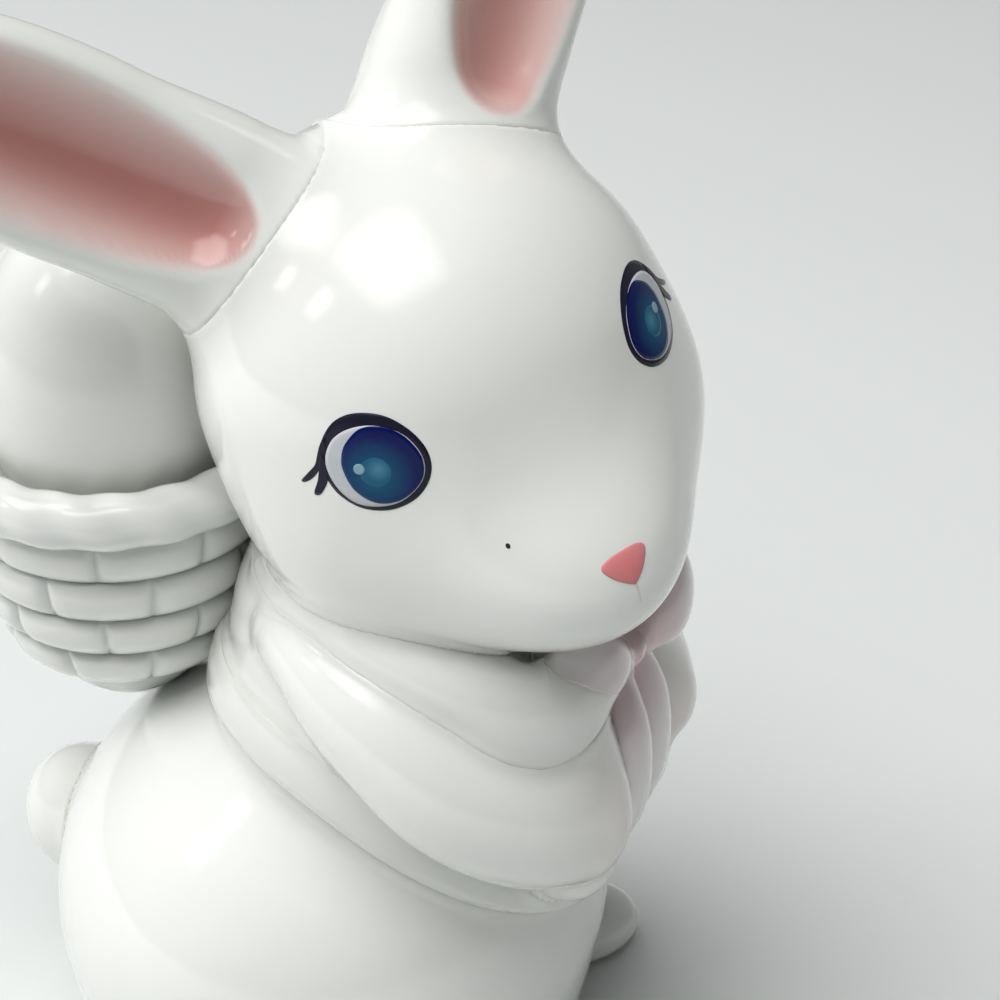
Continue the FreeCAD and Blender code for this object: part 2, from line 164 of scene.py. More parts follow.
def ball_rows(outside, centre, axis, rows, spokes, far):
    """A grid of needles from one centre, pole to pole along the axis, and the two poles."""
    axis = np.asarray(axis, float) / np.linalg.norm(axis)
    aside = np.cross(axis, [0.0, 0.0, 1.0] if abs(axis[2]) < 0.9 else [0.0, 1.0, 0.0])
    aside /= np.linalg.norm(aside)
    up = np.cross(axis, aside)
    rows, spokes = int(rows * grain), int(spokes * grain)
    lift = (np.arange(rows) + 0.5) / rows * math.pi - math.pi / 2
    turn = np.arange(spokes) / spokes * 2 * math.pi
    level = np.cos(turn)[:, None] * aside + np.sin(turn)[:, None] * up
    needles = np.cos(lift)[:, None, None] * level + np.sin(lift)[:, None, None] * axis
    centre = np.asarray(centre, float)
    poles = skin(outside, centre, np.array([-axis, axis]), far)
    return skin(outside, centre, needles, far), poles[0], poles[1]


belly_middle, belly_half = (0, 20, 33), (46, 43.5, 39)
seat_middle, seat_half = (0, 20, 9), (38, 36, 15)
chest_middle, chest_half = (0, 4, 80), (26, 27, 32)
neck_height, vent_radius, wall, waist_fill, body_reach = 98.0, 1.6, 5.0, 14, 60
belly = run_together(swelling(belly_middle, belly_half), swelling(seat_middle, seat_half),
                     waist_fill)
body_clay = run_together(belly, swelling(chest_middle, chest_half), waist_fill)


def spine(height):
    """The body's middle line: straight through the middles of belly and chest."""
    height = np.asarray(height, float)
    back = belly_middle[1] + (chest_middle[1] - belly_middle[1]) * (
        height - belly_middle[2]) / (chest_middle[2] - belly_middle[2])
    return np.stack([0 * height, back, height], -1)


def bearing(degrees):
    """A level direction off the spine: 0 is the front, 90 the rabbit's right."""
    turn = np.radians(degrees)
    return np.stack([-np.sin(turn), -np.cos(turn), 0 * turn], -1)


def on_body(degrees, height, proud=0.0):
    """The point of the body's skin at a bearing and height, moved outwards by proud."""
    out, proud = bearing(np.asarray(degrees, float)), np.asarray(proud, float)[..., None]
    return skin(body_clay, spine(height), out, body_reach) + out * proud


# ---------------- glaze
# A clear glossy glaze covers the whole figure. It lies thicker in the joints, where it looks a
# little greyer, and has faint waves from the dipping. The same grey is laid as painted shade low
# on the egg and over the basket's bare wall.
def set_values(node, **values):
    """Sets a node's inputs; a low line in a name stands for a space."""
    for name, value in values.items():
        node.inputs[name.replace("_", " ")].default_value = value


def mixed_colours(nodes, link, factor, first, second):
    """Two colours, each a socket or three numbers, mixed by a factor's socket."""
    mix = nodes.new("ShaderNodeMix")
    mix.data_type = "RGBA"
    link(factor, mix.inputs["Factor"])
    for name, colour in (("A", first), ("B", second)):
        if isinstance(colour, tuple):
            mix.inputs[name].default_value = (*colour, 1)
        else:
            link(colour, mix.inputs[name])
    return mix.outputs["Result"]


def reckoned(nodes, link, operation, *values, clamp=False):
    """The socket of a Math node's result on values that are sockets or numbers."""
    node = nodes.new("ShaderNodeMath")
    node.operation, node.use_clamp = operation, clamp
    for put, value in zip(node.inputs, values):
        if isinstance(value, bpy.types.NodeSocket):
            link(value, put)
        else:
            put.default_value = value
    return node.outputs[0]


def marked(nodes, mark):
    """The socket that reads a mark's number off the surface."""
    node = nodes.new("ShaderNodeAttribute")
    node.attribute_name = mark
    return node.outputs["Fac"]


def dipped_glaze():
    """A shader node group: a porcelain colour with slow clouding and a grey tint where the pooling
    mark is high, which is glaze pooled in the joints and, low on the egg and on the basket's wall,
    painted shade; and the height of the glaze's slow waves."""
    group = bpy.data.node_groups.new("dipped glaze", "ShaderNodeTree")
    for name, way, kind in (("Clay", "INPUT", "Color"), ("Pooled", "INPUT", "Color"),
                            ("Pooling", "INPUT", "Float"), ("Color", "OUTPUT", "Color"),
                            ("Roughness", "OUTPUT", "Float"), ("Height", "OUTPUT", "Float")):
        group.interface.new_socket(name, in_out=way, socket_type="NodeSocket" + kind)
    nodes, node, link = group.nodes, group.nodes.new, group.links.new
    given, gives = node("NodeGroupInput"), node("NodeGroupOutput")
    place = node("ShaderNodeTexCoord")
    cloud, wave = node("ShaderNodeTexNoise"), node("ShaderNodeTexNoise")
    for noise, scale, detail in ((cloud, 45, 3), (wave, 130, 1)):
        set_values(noise, Scale=scale, Detail=detail)
        link(place.outputs["Object"], noise.inputs["Vector"])
    amount = reckoned(nodes, link, "MULTIPLY", marked(nodes, "pooled"), given.outputs["Pooling"])
    clouding = node("ShaderNodeMapRange")
    set_values(clouding, From_Min=0.3, From_Max=0.7, To_Max=0.06)
    link(cloud.outputs["Fac"], clouding.inputs["Value"])
    both = reckoned(nodes, link, "ADD", amount, clouding.outputs["Result"], clamp=True)
    link(mixed_colours(nodes, link, both, given.outputs["Clay"], given.outputs["Pooled"]),
         gives.inputs["Color"])
    rough = node("ShaderNodeMapRange")
    set_values(rough, To_Min=0.09, To_Max=0.16)
    link(cloud.outputs["Fac"], rough.inputs["Value"])
    link(rough.outputs["Result"], gives.inputs["Roughness"])
    link(wave.outputs["Fac"], gives.inputs["Height"])
    return group


glaze_group = dipped_glaze()


def new_material(name):
    """A material with nodes: itself, its nodes, and the call that links two sockets."""
    material = bpy.data.materials.new(name)
    material.use_nodes = True
    return material, material.node_tree.nodes, material.node_tree.links.new


def glazed(name, clay, pooled, pooling=0.4, tint=()):
    """A glazed material. Tint pairs marks with colours: airbrushed stains under the glaze, and in
    the ears a painted shade as well.
    """
    material, nodes, link = new_material(name)
    shader = nodes["Principled BSDF"]
    glaze = nodes.new("ShaderNodeGroup")
    glaze.node_tree = glaze_group
    set_values(glaze, Clay=(*clay, 1), Pooled=(*pooled, 1), Pooling=pooling)
    colour = glaze.outputs["Color"]
    for mark, stain in tint:
        colour = mixed_colours(nodes, link, marked(nodes, mark), colour, stain)
    link(colour, shader.inputs["Base Color"])
    link(glaze.outputs["Roughness"], shader.inputs["Roughness"])
    bump = nodes.new("ShaderNodeBump")
    set_values(bump, Strength=0.12, Distance=0.0006)
    link(glaze.outputs["Height"], bump.inputs["Height"])
    link(bump.outputs["Normal"], shader.inputs["Normal"])
    set_values(shader, Coat_Weight=0.6, Coat_Roughness=0.04)
    return material


white, pooled_glaze_and_shade_grey, blush = (0.79, 0.80, 0.77), (0.62, 0.63, 0.59), (0.72, 0.50, 0.52)
porcelain = glazed("white porcelain under clear glaze", white, pooled_glaze_and_shade_grey)


def finish_piece(piece, material, slot, *nodes):
    """Gives a piece its finish and its body in the frame, and hides the CAD solids that it stands
    for.
    """
    piece.data.materials.append(material)
    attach(piece, "root")
    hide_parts(*nodes)


def glaze_over(name, drawn, own, near, material, slot, node, marks=()):
    """Meshes a drawn skin, marks how deep its points lie in its joints, and finishes it."""
    marks = [("pooled", joints(own, *near)), *marks]
    finish_piece(closed_mesh(name, *drawn, marks), material, slot, node)


# ---------------- forms of the shawl
# The shawl is a sheet of the same clay over the shoulders. Its rolled hem, the arms under it
# and its turned-down collar are rolls laid along the body, so they share one way of drawing.
def span_cubic(a, b, c, d, t):
    """The Catmull-Rom cubic from b to c, at slopes (c - a) / 2 and (d - b) / 2 there."""
    return 0.5 * (2 * b + (c - a) * t + (2 * a - 5 * b + 4 * c - d) * t ** 2
                  + (3 * b - a - 3 * c + d) * t ** 3)


def smooth_line(stops, count):
    """Rows spread along a curve through the stops, with a span cubic between each two."""
    stops = np.asarray(stops, float)
    known = np.vstack([2 * stops[0] - stops[1], stops, 2 * stops[-1] - stops[-2]])
    place = np.linspace(0, len(stops) - 1, count)
    i = np.minimum(place.astype(int), len(stops) - 2)
    t = (place - i)[:, None]
    return span_cubic(known[i], known[i + 1], known[i + 2], known[i + 3], t)


def laid_roll(line, closed=False):
    """A roll's frames along its line: middle, half width, half height, ahead, side and out. The
    line's columns are x, y, z, half width, half height and the outward direction."""
    middle, out = line[:, :3], line[:, 5:8]
    if closed:
        ahead = np.roll(middle, -1, 0) - np.roll(middle, 1, 0)
    else:
        ahead = np.gradient(middle, axis=0)
    ahead = ahead / np.linalg.norm(ahead, axis=1, keepdims=True)
    out = out - ahead * (out * ahead).sum(1, keepdims=True)
    out = out / np.linalg.norm(out, axis=1, keepdims=True)
    return {"middle": middle, "wide": line[:, 3], "tall": line[:, 4], "ahead": ahead,
            "side": np.cross(ahead, out), "out": out, "closed": closed}


def roll_clay(roll):
    """How far points lie outside a roll: each takes the nearest place of the line, between two
    rows, and there the distance to an oval, n (n - 1) / s as for a swelling, with round ends."""
    middle, ahead = roll["middle"], roll["ahead"]
    count = len(middle)
    step = np.linalg.norm(np.diff(middle, axis=0), axis=1).mean()

    def outside(points):
        p = points.reshape(-1, 3)
        squares = (middle ** 2).sum(1) - 2 * p @ middle.T
        near = squares.argmin(1)
        along = ((p - middle[near]) * ahead[near]).sum(1) / step
        place = near + np.clip(along, -1, 1)
        if roll["closed"]:
            low = np.floor(place).astype(int)
        else:
            place = np.clip(place, 0, count - 1)
            low = np.minimum(place.astype(int), count - 2)
        t = (place - low)[:, None]
        low, high = low % count, (low + 1) % count

        def here(key):
            values = roll[key]
            share = t if values.ndim > 1 else t[:, 0]
            return values[low] * (1 - share) + values[high] * share

        q, wide, tall = p - here("middle"), here("wide"), here("tall")
        u, v, w = ((q * here(key)).sum(1) for key in ("side", "out", "ahead"))
        n = np.sqrt((u / wide) ** 2 + (v / tall) ** 2 + (w / tall) ** 2)
        slope = np.sqrt((u / wide ** 2) ** 2 + (v / tall ** 2) ** 2 + (w / tall ** 2) ** 2)
        return (n * (n - 1) / np.maximum(slope, 1e-9)).reshape(points.shape[:-1])

    return outside


def roll_rows(roll, outside, spokes, far, cap=9):
    """A grid of needles off the roll's line: rings square to it, and at each end rings that tilt
    from square to straight out, with the two poles."""
    spokes, cap = int(spokes * grain), max(4, int(cap * grain))
    stride = 1 if grain == 1 else 2
    tilt = (np.arange(cap) + 1) / (cap + 1) * math.pi / 2
    count = len(roll["middle"])
    inner = np.arange(0, count, stride)
    if roll["closed"]:
        place, lean = inner, 0.0 * inner
    else:
        inner = np.unique(np.append(inner, count - 1))
        place = np.concatenate([np.zeros(cap, int), inner, np.full(cap, count - 1)])
        lean = np.concatenate([tilt - math.pi / 2, 0.0 * inner, tilt])
    turn = (np.arange(spokes) / spokes * 2 * math.pi)[:, None]
    square = (np.cos(turn) * roll["out"][place][:, None]
              - np.sin(turn) * roll["side"][place][:, None])
    needles = (np.cos(lean)[:, None, None] * square
               + np.sin(lean)[:, None, None] * roll["ahead"][place][:, None])
    rows = skin(outside, roll["middle"][place][:, None], needles, far)
    if roll["closed"]:
        return rows, None, None
    ends = skin(outside, roll["middle"][[0, -1]], roll["ahead"][[0, -1]] * [[-1], [1]], far)
    return rows, ends[0], ends[1]


def route(stops, count):
    """A line along the body for stops of bearing, height, proud, half width, half height."""
    dense = smooth_line(stops, count)
    return np.hstack([on_body(dense[:, 0], dense[:, 1], dense[:, 2]), dense[:, 3:5],
                      bearing(dense[:, 0])])


def to_left(line):
    """The same line on the rabbit's other side."""
    flip = np.ones(line.shape[1])
    flip[[0, 5]] = -1
    return line * flip


def two_rolls(line):
    """A roll on either side, the left one by x turned to -x."""
    return {"right": laid_roll(line), "left": laid_roll(to_left(line))}


def clay_of(rolls):
    """How far points lie outside each roll of a pair."""
    return {side: roll_clay(roll) for side, roll in rolls.items()}


mirror = {"right": np.array([1.0, 1, 1]), "left": np.array([-1.0, 1, 1])}
sides = (("right", "left"), ("left", "right"))
hem_back, hem_fall, hem_dip = 75.0, 24.0, 4.0


def hem_height(degrees):
    """The hem's level: high at the back, lower at the sides, with a last dip in front, by powers
    of the share (1 + cos bearing) / 2."""
    share = (1 + np.cos(np.radians(degrees))) / 2
    return hem_back - hem_fall * share ** 2.3 - hem_dip * share ** 14


cloth_thickness, hem_proud, hem_half_height = 2.4, 1.0, 3.0
hem_narrow, hem_broadens, broad_from, broad_over = 2.7, 2.5, 22, 60
round_body = np.linspace(-180, 180, 220, endpoint=False)
hem_share = np.clip((np.abs(round_body) - broad_from) / broad_over, 0, 1)
hem_width = hem_narrow + hem_broadens * hem_share ** 2 * (3 - 2 * hem_share)
hem_level = hem_height(round_body) + hem_width - 3.3
hem_line = np.column_stack([on_body(round_body, hem_level, hem_proud), hem_width,
                            0 * hem_width + hem_half_height, bearing(round_body)])
hem = laid_roll(hem_line, closed=True)
hem_clay = roll_clay(hem)

arm_line = route([(132, 92, 0.5, 3.4, 3.0), (116, 91, 1.5, 5.4, 4.4), (98, 87.5, 2.5, 7.4, 5.6),
                  (78, 83, 4.0, 8.8, 6.9), (58, 76.5, 6.0, 9.8, 8.2), (40, 71, 7.8, 10.0, 8.8),
                  (27, 67.5, 8.5, 9.2, 8.5)], 64)
arms = two_rolls(arm_line)
fall_middle, fall_half = on_body(25.0, 77.0, 3.2), (7.0, 6.5, 10.5)


def covered_arm(side):
    """An arm with the cloth that falls over its end from the knot, run together by 7 mm."""
    return run_together(roll_clay(arms[side]), swelling(fall_middle * mirror[side], fall_half), 7)


arm_clay = {side: covered_arm(side) for side in arms}

paw_middle = on_body(20.0, 58.5, 6.5)
paw_half = (7.2, 7.2, 7.6)
paws = {side: paw_middle * mirror[side] for side in arms}
paw_clay = {side: swelling(middle, paw_half) for side, middle in paws.items()}

collar_line = route([(150, 97.5, 0.0, 2.4, 2.4), (125, 98.5, 1.2, 3.0, 3.2),
                     (100, 97.0, 2.8, 3.8, 4.2), (80, 94.6, 4.0, 4.9, 4.8),
                     (62, 91.3, 5.0, 6.4, 5.2), (48, 87.6, 5.8, 8.5, 5.2),
                     (39, 86.8, 6.0, 7.9, 5.0), (29, 87.8, 5.6, 5.9, 4.5),
                     (19, 88.6, 5.0, 4.2, 3.6), (10, 88.2, 4.2, 2.8, 2.8)], 76)
collars = two_rolls(collar_line)
collar_clay = clay_of(collars)


# ---------------- forms of the head
# The head is a second shell, cast apart and luted on turned and tilted towards the rabbit's own
# right: a round skull, two full cheeks and a muzzle, with the ears pulled up out of it.
def turn_about(axis, degrees):
    """The matrix that turns points by an angle about a coordinate axis."""
    return np.array(Matrix.Rotation(math.radians(degrees), 3, axis))


head_middle = np.array([0.0, 1.0, 126.5])
head_axes = turn_about("Z", -40.0) @ turn_about("Y", -16.5)


def in_head(points):
    """Points in the head's frame: less its middle, then along its three axes."""
    return (points - head_middle) @ head_axes


def from_head(points):
    """The way back, from the head's frame to the figure's."""
    return np.asarray(points, float) @ head_axes.T + head_middle


skull = swelling((0, 2, 1.5), (33.5, 32.5, 31.5))
cheeks = run_together(run_together(skull, swelling((-13, -5, -11), (20, 21, 19)), 8),
                      swelling((13, -5, -11), (20, 21, 19)), 8)
face_clay = run_together(cheeks, swelling((0, -23, -15), (17, 20, 14)), 14)


def head_clay(points):
    """How far points lie outside the turned head."""
    return face_clay(in_head(points))


ear_length, ear_half_width, ear_half_thickness, lip_softness = 69.0, 13.8, 8.5, 3.0
ear_root = np.array([-13.5, 10.5, 24.5])
ear_along = np.array([-0.66, 0.16, 0.735])
ear_along /= np.linalg.norm(ear_along)
ear_out = np.array([-0.10, -0.93, 0.25])
ear_out -= ear_along * (ear_out @ ear_along)
ear_out /= np.linalg.norm(ear_out)
ear_across = np.cross(ear_along, ear_out)
ear_axes = np.stack([ear_along, ear_across, ear_out], 1)
ear_half = (ear_length + 5) / 2
ear_middle = ear_root + ear_along * (ear_length - ear_half)
ear_blade = swelling(ear_middle, (ear_half, ear_half_width, ear_half_thickness), ear_axes)
ear_stem = swelling(ear_root + ear_along * 6 - ear_out * 3, (20, 13.0, 11.0), ear_axes)
ear_tool = swelling(ear_middle + ear_out * 9 + ear_along * 5.5, (ear_half - 7, 11.0, 8.0),
                    ear_axes)
ear_solid = run_together(ear_blade, ear_stem, 8)


def ear_form(points):
    """The ear in the head's frame: blade and stem less the round tool's hollow, with the lip
    softened by 3 mm: the larger of the two distances plus softness / 4 times h squared."""
    a, b = ear_solid(points), -ear_tool(points)
    h = np.clip(1 - np.abs(a - b) / lip_softness, 0, 1)
    return np.maximum(a, b) + lip_softness * h * h / 4


def ear_clay(side):
    """An ear on the figure, the left one in the mirrored head."""
    return lambda points: ear_form(in_head(points) * mirror[side])


ears = {side: ear_clay(side) for side in mirror}

# ---------------- forms of the bow
# The shawl is tied under the chin: a pinched knot, two standing loops and two hanging tails,
# modelled by hand and stuck on, with a breath of pink sprayed over them.
knot_middle = on_body(3.0, 87.6, 3.8)
knot_clay = swelling(knot_middle, (4.0, 4.0, 3.4))
forward = np.tile([0.0, -1.0, 0.0], (4, 1))
loop_shares = np.array([0.15, 0.4, 0.7, 0.95])
loop_swell = np.array([0.5, 0.85, 1.0, 0.75])
loops = {"right": laid_roll(route([(9, 88.0, 4.5, 2.4, 2.2), (18, 89.8, 6.6, 4.4, 3.0),
                                   (28, 91.4, 7.6, 5.4, 3.2), (38, 92.6, 7.0, 4.2, 2.8)], 30)),
         "left": laid_roll(smooth_line(np.column_stack([
             17.0 * loop_shares, knot_middle[1] - 4.6 * np.sin(math.pi * loop_shares ** 0.8),
             knot_middle[2] - 1.0 + 8.5 * loop_shares, 7.2 * loop_swell, 3.8 * loop_swell,
             forward]), 30))}
loop_clay = clay_of(loops)
tail_shares = np.array([0.04, 0.33, 0.65, 0.95])
tail_widths = np.array([3.2, 4.6, 4.4, 2.5])
tail_line = smooth_line(np.column_stack([
    -tail_widths, knot_middle[1] - 4.0 * np.sin(math.pi * tail_shares),
    knot_middle[2] - 1.0 - 35.0 * tail_shares, tail_widths, tail_widths * 0.6, forward]), 40)
bow_tails = two_rolls(tail_line)
bow_tail_clay = clay_of(bow_tails)

# ---------------- body, shawl and head skins
# Here each piece's skin is drawn against its neighbours, so that the glaze fills the joints.
ball_tail_middle = on_body(180.0, 32.0, 2.5)
ball_tail_clay = swelling(ball_tail_middle, (9.5, 9.5, 11.5))
foot_turn = math.radians(32)
foot_ahead = np.array([-math.sin(foot_turn), -math.cos(foot_turn), 0])
foot_axes = np.stack([foot_ahead, np.cross(foot_ahead, [0, 0, 1]), [0, 0, 1]], 1)
foot_middle = np.array([-31.0, -9.0, 5.0])
foot_clay = {"right": swelling(foot_middle, (13, 9, 6.5), foot_axes)}
foot_clay["left"] = lambda points: foot_clay["right"](points * mirror["left"])

joint_fill, crown_fill, tail_fill, foot_fill = 3.0, 9.0, 6.0, 5.0


def filled(softness, *clays):
    """Neighbours whose joints are filled with one softness, for glazed_into and joints."""
    return [(clay, softness) for clay in clays]


arm_joints = filled(joint_fill, *arm_clay.values(), *paw_clay.values())
body_joints = (filled(joint_fill, hem_clay) + filled(tail_fill, ball_tail_clay)
               + filled(foot_fill, *foot_clay.values()) + arm_joints)
body_outside = glazed_into(body_clay, *body_joints)
levels = np.concatenate([[0.02, 0.35, 0.9, 1.7], np.linspace(3, neck_height, int(120 * grain))])
around = np.linspace(0, 360, int(256 * grain), endpoint=False)
base_round = np.zeros(len(levels))
base_round[:4] = 2.4, 1.2, 0.5, 0.1     # how far the lowest rows are drawn in
rows = [skin(body_outside, spine(level), bearing(around), 75) - bearing(around) * inwards
        for level, inwards in zip(levels, base_round)]
vent = np.array([0.0, belly_middle[1], 0.0]) + bearing(around) * vent_radius
underside = [vent + [0, 0, wall], vent + [0, 0, 0.3], vent + bearing(around) * 0.3,
             rows[0] * [0.6, 0.6, 1] + [0, belly_middle[1] * 0.4, 0]]
rows = np.array(underside + rows)
glaze_over("porcelain_body", (rows, [0, belly_middle[1], wall], spine(neck_height - 1)),
           body_clay, body_joints, porcelain, "white_glaze", "body_shell")

# Shawl: a thin sheet of the same clay, pressed over back and shoulders down to its rolled hem
# and closed under the head.
collar_joints = filled(joint_fill, *collar_clay.values())
cloth_joints = filled(joint_fill, hem_clay, head_clay) + arm_joints + collar_joints


def open_cloth(points):
    """The cloth's skin: the body's distance less the cloth's thickness."""
    return body_clay(points) - cloth_thickness


cloth_outside = glazed_into(open_cloth, *cloth_joints)
rows = []
for share in np.linspace(0, 1, int(70 * grain)):
    level = hem_height(around) + (neck_height - hem_height(around)) * share
    rows.append(skin(cloth_outside, spine(level), bearing(around), 60))
tucked = rows[0] - bearing(around) * 5
rows = np.array([tucked] + rows)
glaze_over("shawl_cloth", (rows, spine(60.0), spine(neck_height - 1)), open_cloth, cloth_joints,
           porcelain, "white_glaze", "shawl")

# Hem: the shawl's rolled edge, one coil of clay round the body, broader at the sides and luted
# to cloth and belly.
hem_joints = filled(joint_fill, body_clay, open_cloth) + arm_joints
rows, _, _ = roll_rows(hem, glazed_into(hem_clay, *hem_joints), 64, 9)
hem_piece = closed_mesh("shawl_hem", rows, marks=[("pooled", joints(hem_clay, *hem_joints))])
finish_piece(hem_piece, porcelain, "white_glaze", "shawl_hem_right", "shawl_hem_left")

# Arms, paws and collar: thick rolls of clay under and over the cloth, one of each on either
# side, blended into it with a wet brush and tinted with a breath of pink at their ends.
def sprayed(middle, reach, strength):
    """The mark of an airbrushed cloud: strength times exp of minus the squared distance over
    the reach squared."""
    return [("sprayed", lambda points: strength * np.exp(
        -((points - middle) ** 2).sum(-1) / reach ** 2))]


tinted = glazed("porcelain with a breath of pink", white, pooled_glaze_and_shade_grey, tint=[("sprayed", blush)])
sleeve_end, thin_fill, bow_fill, collar_fill = on_body(18.0, 68.0, 9.0), 1.2, 1.6, 2.0
for side, other in sides:
    blushed = sprayed(sleeve_end * mirror[side], 10.0, 0.4)
    near = filled(joint_fill, paw_clay[side], open_cloth, body_clay, hem_clay, collar_clay[side],
                  paw_clay[other], arm_clay[other]) + filled(thin_fill, bow_tail_clay[side])
    drawn = roll_rows(arms[side], glazed_into(arm_clay[side], *near), 144, 32, 34)
    glaze_over(side + "_arm_under_shawl", drawn, arm_clay[side], near[1:], tinted, "white_glaze",
               side + "_arm", blushed)

    near = filled(joint_fill, arm_clay[side], open_cloth, body_clay, hem_clay, arm_clay[other],
                  paw_clay[other]) + filled(thin_fill, bow_tail_clay[side])
    drawn = ball_rows(glazed_into(paw_clay[side], *near), paws[side], (0, 0, 1), 100, 120, 22)
    glaze_over(side + "_paw_end", drawn, paw_clay[side], near[1:], tinted, "white_glaze",
               side + "_paw", blushed)

    near = (filled(joint_fill, open_cloth, head_clay, arm_clay[side])
            + filled(collar_fill, knot_clay) + filled(1.5, collar_clay[other])
            + filled(collar_fill, loop_clay[side]))
    drawn = roll_rows(collars[side], glazed_into(collar_clay[side], *near), 120, 18, 26)
    glaze_over(side + "_collar_fold", drawn, collar_clay[side], near, tinted, "white_glaze",
               "shawl_collar_" + side, sprayed(knot_middle, 11.0, 0.5))

# Bow: knot, loops and tails, each modelled by hand, set on the collar's front with slip and
# sprayed with pink that fades outwards from the knot.
bow_blush = glazed("blush-sprayed porcelain", (0.79, 0.78, 0.78), (0.60, 0.56, 0.57),
                   tint=[("sprayed", (0.66, 0.42, 0.46))])
bow_spray = sprayed(knot_middle, 14.0, 0.8)


def pinched(own, middle, depth):
    """A knot with a pinch line across it: its distance plus a narrow bell-shaped groove."""
    def outside(points):
        q = points - middle
        return own(points) + depth * np.exp(-((q[..., 0] + 0.25 * q[..., 2] + 1.6) / 0.8) ** 2)

    return outside


near = (filled(collar_fill, *collar_clay.values(), open_cloth)
        + filled(bow_fill, *loop_clay.values(), *bow_tail_clay.values()))
drawn = ball_rows(glazed_into(pinched(knot_clay, knot_middle, 0.7), *near), knot_middle,
                  (0, 0, 1), 56, 64, 14)
glaze_over("bow_knot_pinched", drawn, knot_clay, near, bow_blush, "blush_glaze", "bow_knot",
           sprayed(knot_middle, 9.0, 0.9))
for side, other in sides:
    near = (filled(bow_fill, knot_clay) + filled(collar_fill, collar_clay[side], open_cloth)
            + filled(1.0, head_clay) + filled(thin_fill, arm_clay[side]))
    drawn = roll_rows(loops[side], glazed_into(loop_clay[side], *near), 96, 14, 20)
    glaze_over(side + "_bow_loop", drawn, loop_clay[side], near, bow_blush, "blush_glaze",
               "bow_loop_" + side, bow_spray)
    near = (filled(bow_fill, knot_clay) + filled(thin_fill, arm_clay[side], paw_clay[side])
            + filled(1.0, bow_tail_clay[other]))
    drawn = roll_rows(bow_tails[side], glazed_into(bow_tail_clay[side], *near), 80, 10, 16)
    glaze_over(side + "_bow_tail", drawn, bow_tail_clay[side], near, bow_blush, "blush_glaze",
               "bow_tail_" + side, bow_spray)

# Head: a thin cast shell of its own, luted on the neck, with the ears' roots melted into its
# crown.
head_joints = filled(crown_fill, *ears.values()) + filled(joint_fill, open_cloth) + collar_joints
drawn = ball_rows(glazed_into(head_clay, *head_joints), head_middle, head_axes[:, 2], 230, 320, 64)
glaze_over("porcelain_head", drawn, head_clay, head_joints[2:], porcelain, "white_glaze",
           "head_shell")

# Ears: leaf-shaped blades pulled up from a thick root, hollowed with a round tool and airbrushed
# dusty pink inside the hollow. A darker painted shade lies down the middle of the hollow, stronger
# on the right ear than on the left.
# The second colour is painted shade: a darker pink down the middle of the hollow, where shade
# falls.
ear_pink, ear_painted_shade = (0.70, 0.40, 0.37), (0.42, 0.17, 0.15)
ear_core_level, ear_last_row, ear_lean = 11.0, 0.985, 1.45
ear_glaze = glazed("ear porcelain, airbrushed pink", white, pooled_glaze_and_shade_grey,
                   tint=[("pink", ear_pink), ("shade", ear_painted_shade)])
rise = np.sin(math.pi / 2 * np.linspace(0, 1, int(110 * grain)))
reach = ear_core_level + (ear_length * ear_last_row - ear_core_level) * rise
lean = np.concatenate([np.linspace(-ear_lean, 0, int(60 * grain), endpoint=False), 0 * reach])
reach = np.concatenate([np.full(len(lean) - len(reach), ear_core_level), reach])
thick = ear_half_thickness * np.sqrt(1 - ((reach - ear_length + ear_half) / ear_half) ** 2)
ear_cores = ear_root + reach[:, None] * ear_along - (thick * 0.45)[:, None] * ear_out
turn = np.linspace(0, 2 * math.pi, int(168 * grain), endpoint=False)[:, None]
ear_spokes = np.cos(turn) * ear_across + np.sin(turn) * ear_out
ear_spokes = (np.cos(lean)[:, None, None] * ear_spokes + np.sin(lean)[:, None, None] * ear_along)


def in_hollow(side, soft, bright, strength=1.0):
    """How far into the hollow a point lies: 1 on the tool's own surface, fading over the lip and
    towards the root. It places the airbrushed pink and, narrower, the painted shade deep in the
    hollow."""
    def amount(points):
        q = in_head(points) * mirror[side]
        lip = np.clip(1.2 - np.maximum(ear_tool(q), 0) / soft, 0, 1)
        across = (q - ear_middle) @ ear_across
        along = (q - ear_root) @ ear_along
        middle = np.exp(-(across / bright) ** 2)
        start = np.clip((along - 3) / 8, 0, 1)
        return strength * lip * middle * start

    return amount


# The painted shade is laid stronger on the right ear than on the left.
painted_shade_strength = {"right": 0.9, "left": 0.5}
for side, other in sides:
    flip = mirror[side]
    cores, spokes = from_head(ear_cores * flip)[:, None], (ear_spokes * flip) @ head_axes.T
    outside = glazed_into(ears[side], *filled(crown_fill, head_clay, ears[other]))
    rows = skin(outside, cores, spokes, 30)
    tip = from_head((ear_root + ear_along * ear_length) * flip)
    piece = closed_mesh(side + "_ear_leaf", rows, from_head(ear_root * flip), tip,
                        [("pink", in_hollow(side, 1.2, 11.0)),
                         ("shade", in_hollow(side, 0.9, 6.2, painted_shade_strength[side]))])
    finish_piece(piece, ear_glaze, "pink_glaze", side + "_ear")

# ---------------- painted face
# Eyes and lashes are ceramic transfers fired onto the glaze, the nose is painted by hand. Each
# is a film of colour that follows the head's skin.
rim_sink, dot_strength = 0.25, 0.12     # a rim's depth in the glaze, the dots' share of colour


